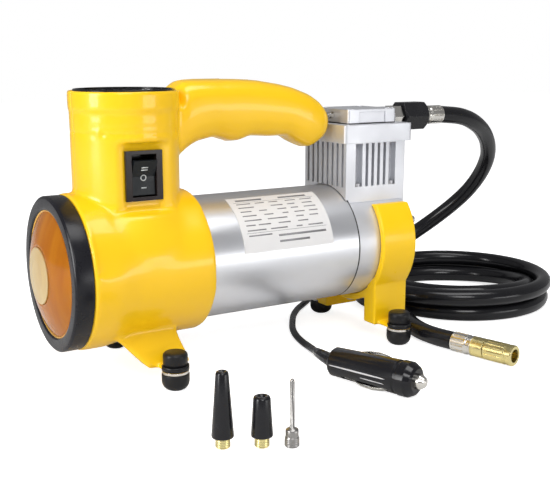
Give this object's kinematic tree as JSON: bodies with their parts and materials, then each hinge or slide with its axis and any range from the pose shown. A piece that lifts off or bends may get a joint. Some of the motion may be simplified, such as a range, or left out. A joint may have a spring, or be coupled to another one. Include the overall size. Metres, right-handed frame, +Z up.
{
  "type": "portable tire inflator",
  "caption": "Portable 12 V piston air compressor: lamp, gauge and switch in a yellow housing with a handle, finned pump, coiled hose with screw-on chuck, plug and nozzles.",
  "frame": {"origin": "on the ground, at the centre of the four rubber feet", "axes": "+X along the motor from the lamp to the pump, +Y to the side that the power cord leaves, +Z up"},
  "size_m": [0.3784, 0.2719, 0.16],
  "materials": {
    "yellow_shell": "moulded, semi-gloss",
    "yellow_paint": "powder coated, semi-gloss",
    "black_rubber": "satin",
    "amber_lens": "clear amber",
    "frosted_window": "frosted",
    "mirror_cone": "bright",
    "clear_glass": "clear",
    "black_plastic": "gloss",
    "white_print": "printed",
    "red_paint": "gloss",
    "bright_can": "bright zinc",
    "magnet": "matte",
    "cream_plastic": "moulded",
    "carbon": "matte",
    "steel": "ground",
    "copper": "enamelled",
    "black_casting": "black, semi-gloss",
    "silver_casting": "cast, satin",
    "nickel": "nickel plated",
    "brass": "turned"
  },
  "bodies": {
    "machine": {"housing_left": "yellow_shell", "housing_right": "yellow_shell", "housing_screws": "steel", "lamp_bezel": "black_rubber", "lamp_lens": "amber_lens", "lamp_window": "frosted_window", "lamp_reflector": "mirror_cone", "lamp_bulb": "clear_glass", "gauge_case": "black_plastic", "gauge_dial": "white_print", "gauge_movement": "brass", "gauge_glass": "clear_glass", "gauge_tube": "nickel", "switch_frame": "black_plastic", "motor_can": "bright_can", "motor_magnets": "magnet", "motor_end_bell": "cream_plastic", "carbon_brushes": "carbon", "shaft_bearing": "steel", "crankcase": "silver_casting", "crankcase_cover": "silver_casting", "cylinder_block": "silver_casting", "head_plate": "silver_casting", "head_gasket": "black_rubber", "head_cover": "silver_casting", "head_bolts": "steel", "pump_screws": "steel", "reed_valves": "steel", "outlet_fitting": "nickel", "swivel_nut": "black_casting", "hose_ferrules": "nickel", "hose": "black_rubber", "hose_coil": "black_rubber", "chuck_core": "brass", "rear_bracket": "yellow_paint", "foot_bolts": "steel", "rubber_feet": "black_rubber", "rating_label": "white_print", "power_cord": "black_rubber", "cord_coil": "black_rubber", "cord_gland": "black_rubber", "plug_body": "black_plastic", "plug_contacts": "nickel"},
    "rotor": {"armature_core": "steel", "armature_windings": "copper", "commutator": "copper", "motor_shaft": "steel", "crank_disc": "steel"},
    "piston_group": {"piston": "silver_casting", "piston_ring": "carbon", "wrist_pin": "steel"},
    "rod_group": {"connecting_rod": "silver_casting", "crank_pin": "steel"},
    "needle": {"gauge_needle": "red_paint"},
    "rocker": {"switch_rocker": "black_plastic"},
    "sleeve": {"chuck_sleeve": "brass"},
    "tip": {"plug_tip": "nickel"},
    "tall_nozzle": {"tall_nozzle": "black_plastic"},
    "short_nozzle": {"short_nozzle": "black_plastic"},
    "ball_needle": {"ball_needle": "nickel"}
  },
  "joints": [
    {"name": "rotor_spin", "type": "hinge", "parent": "machine", "child": "rotor", "pos_m": [0, 0, 0.06], "axis": [1, 0, 0], "continuous": true},
    {"name": "piston_slide", "type": "slide", "parent": "machine", "child": "piston_group", "axis": [0, 0, 1], "range_m": [-0.015, 0]},
    {"name": "rod_swing", "type": "hinge", "parent": "piston_group", "child": "rod_group", "pos_m": [0.07, 0, 0.1055], "axis": [1, 0, 0], "range_deg": [-11.4, 11.4]},
    {"name": "needle_turn", "type": "hinge", "parent": "machine", "child": "needle", "pos_m": [-0.082, 0, 0.15], "axis": [0, 0, 1], "range_deg": [-270, 0]},
    {"name": "rocker_tip", "type": "hinge", "parent": "machine", "child": "rocker", "pos_m": [-0.0824, -0.021, 0.112], "axis": [1, 0, 0], "range_deg": [-24, 0]},
    {"name": "sleeve_turn", "type": "hinge", "parent": "machine", "child": "sleeve", "pos_m": [0.10275, -0.10432, 0.0061], "axis": [0.247, -0.969, 0], "continuous": true},
    {"name": "tip_press", "type": "slide", "parent": "machine", "child": "tip", "axis": [-0.347, 0.9379, 0], "range_m": [0, 0.003], "stiffness_N_per_m": 600, "springref_m": -0.002},
    {"name": "tall_nozzle_lift", "type": "slide", "parent": "machine", "child": "tall_nozzle", "axis": [0, 0, 1], "range_m": [0, 0.06]},
    {"name": "short_nozzle_lift", "type": "slide", "parent": "machine", "child": "short_nozzle", "axis": [0, 0, 1], "range_m": [0, 0.06]},
    {"name": "ball_needle_lift", "type": "slide", "parent": "machine", "child": "ball_needle", "axis": [0, 0, 1], "range_m": [0, 0.06]}
  ]
}
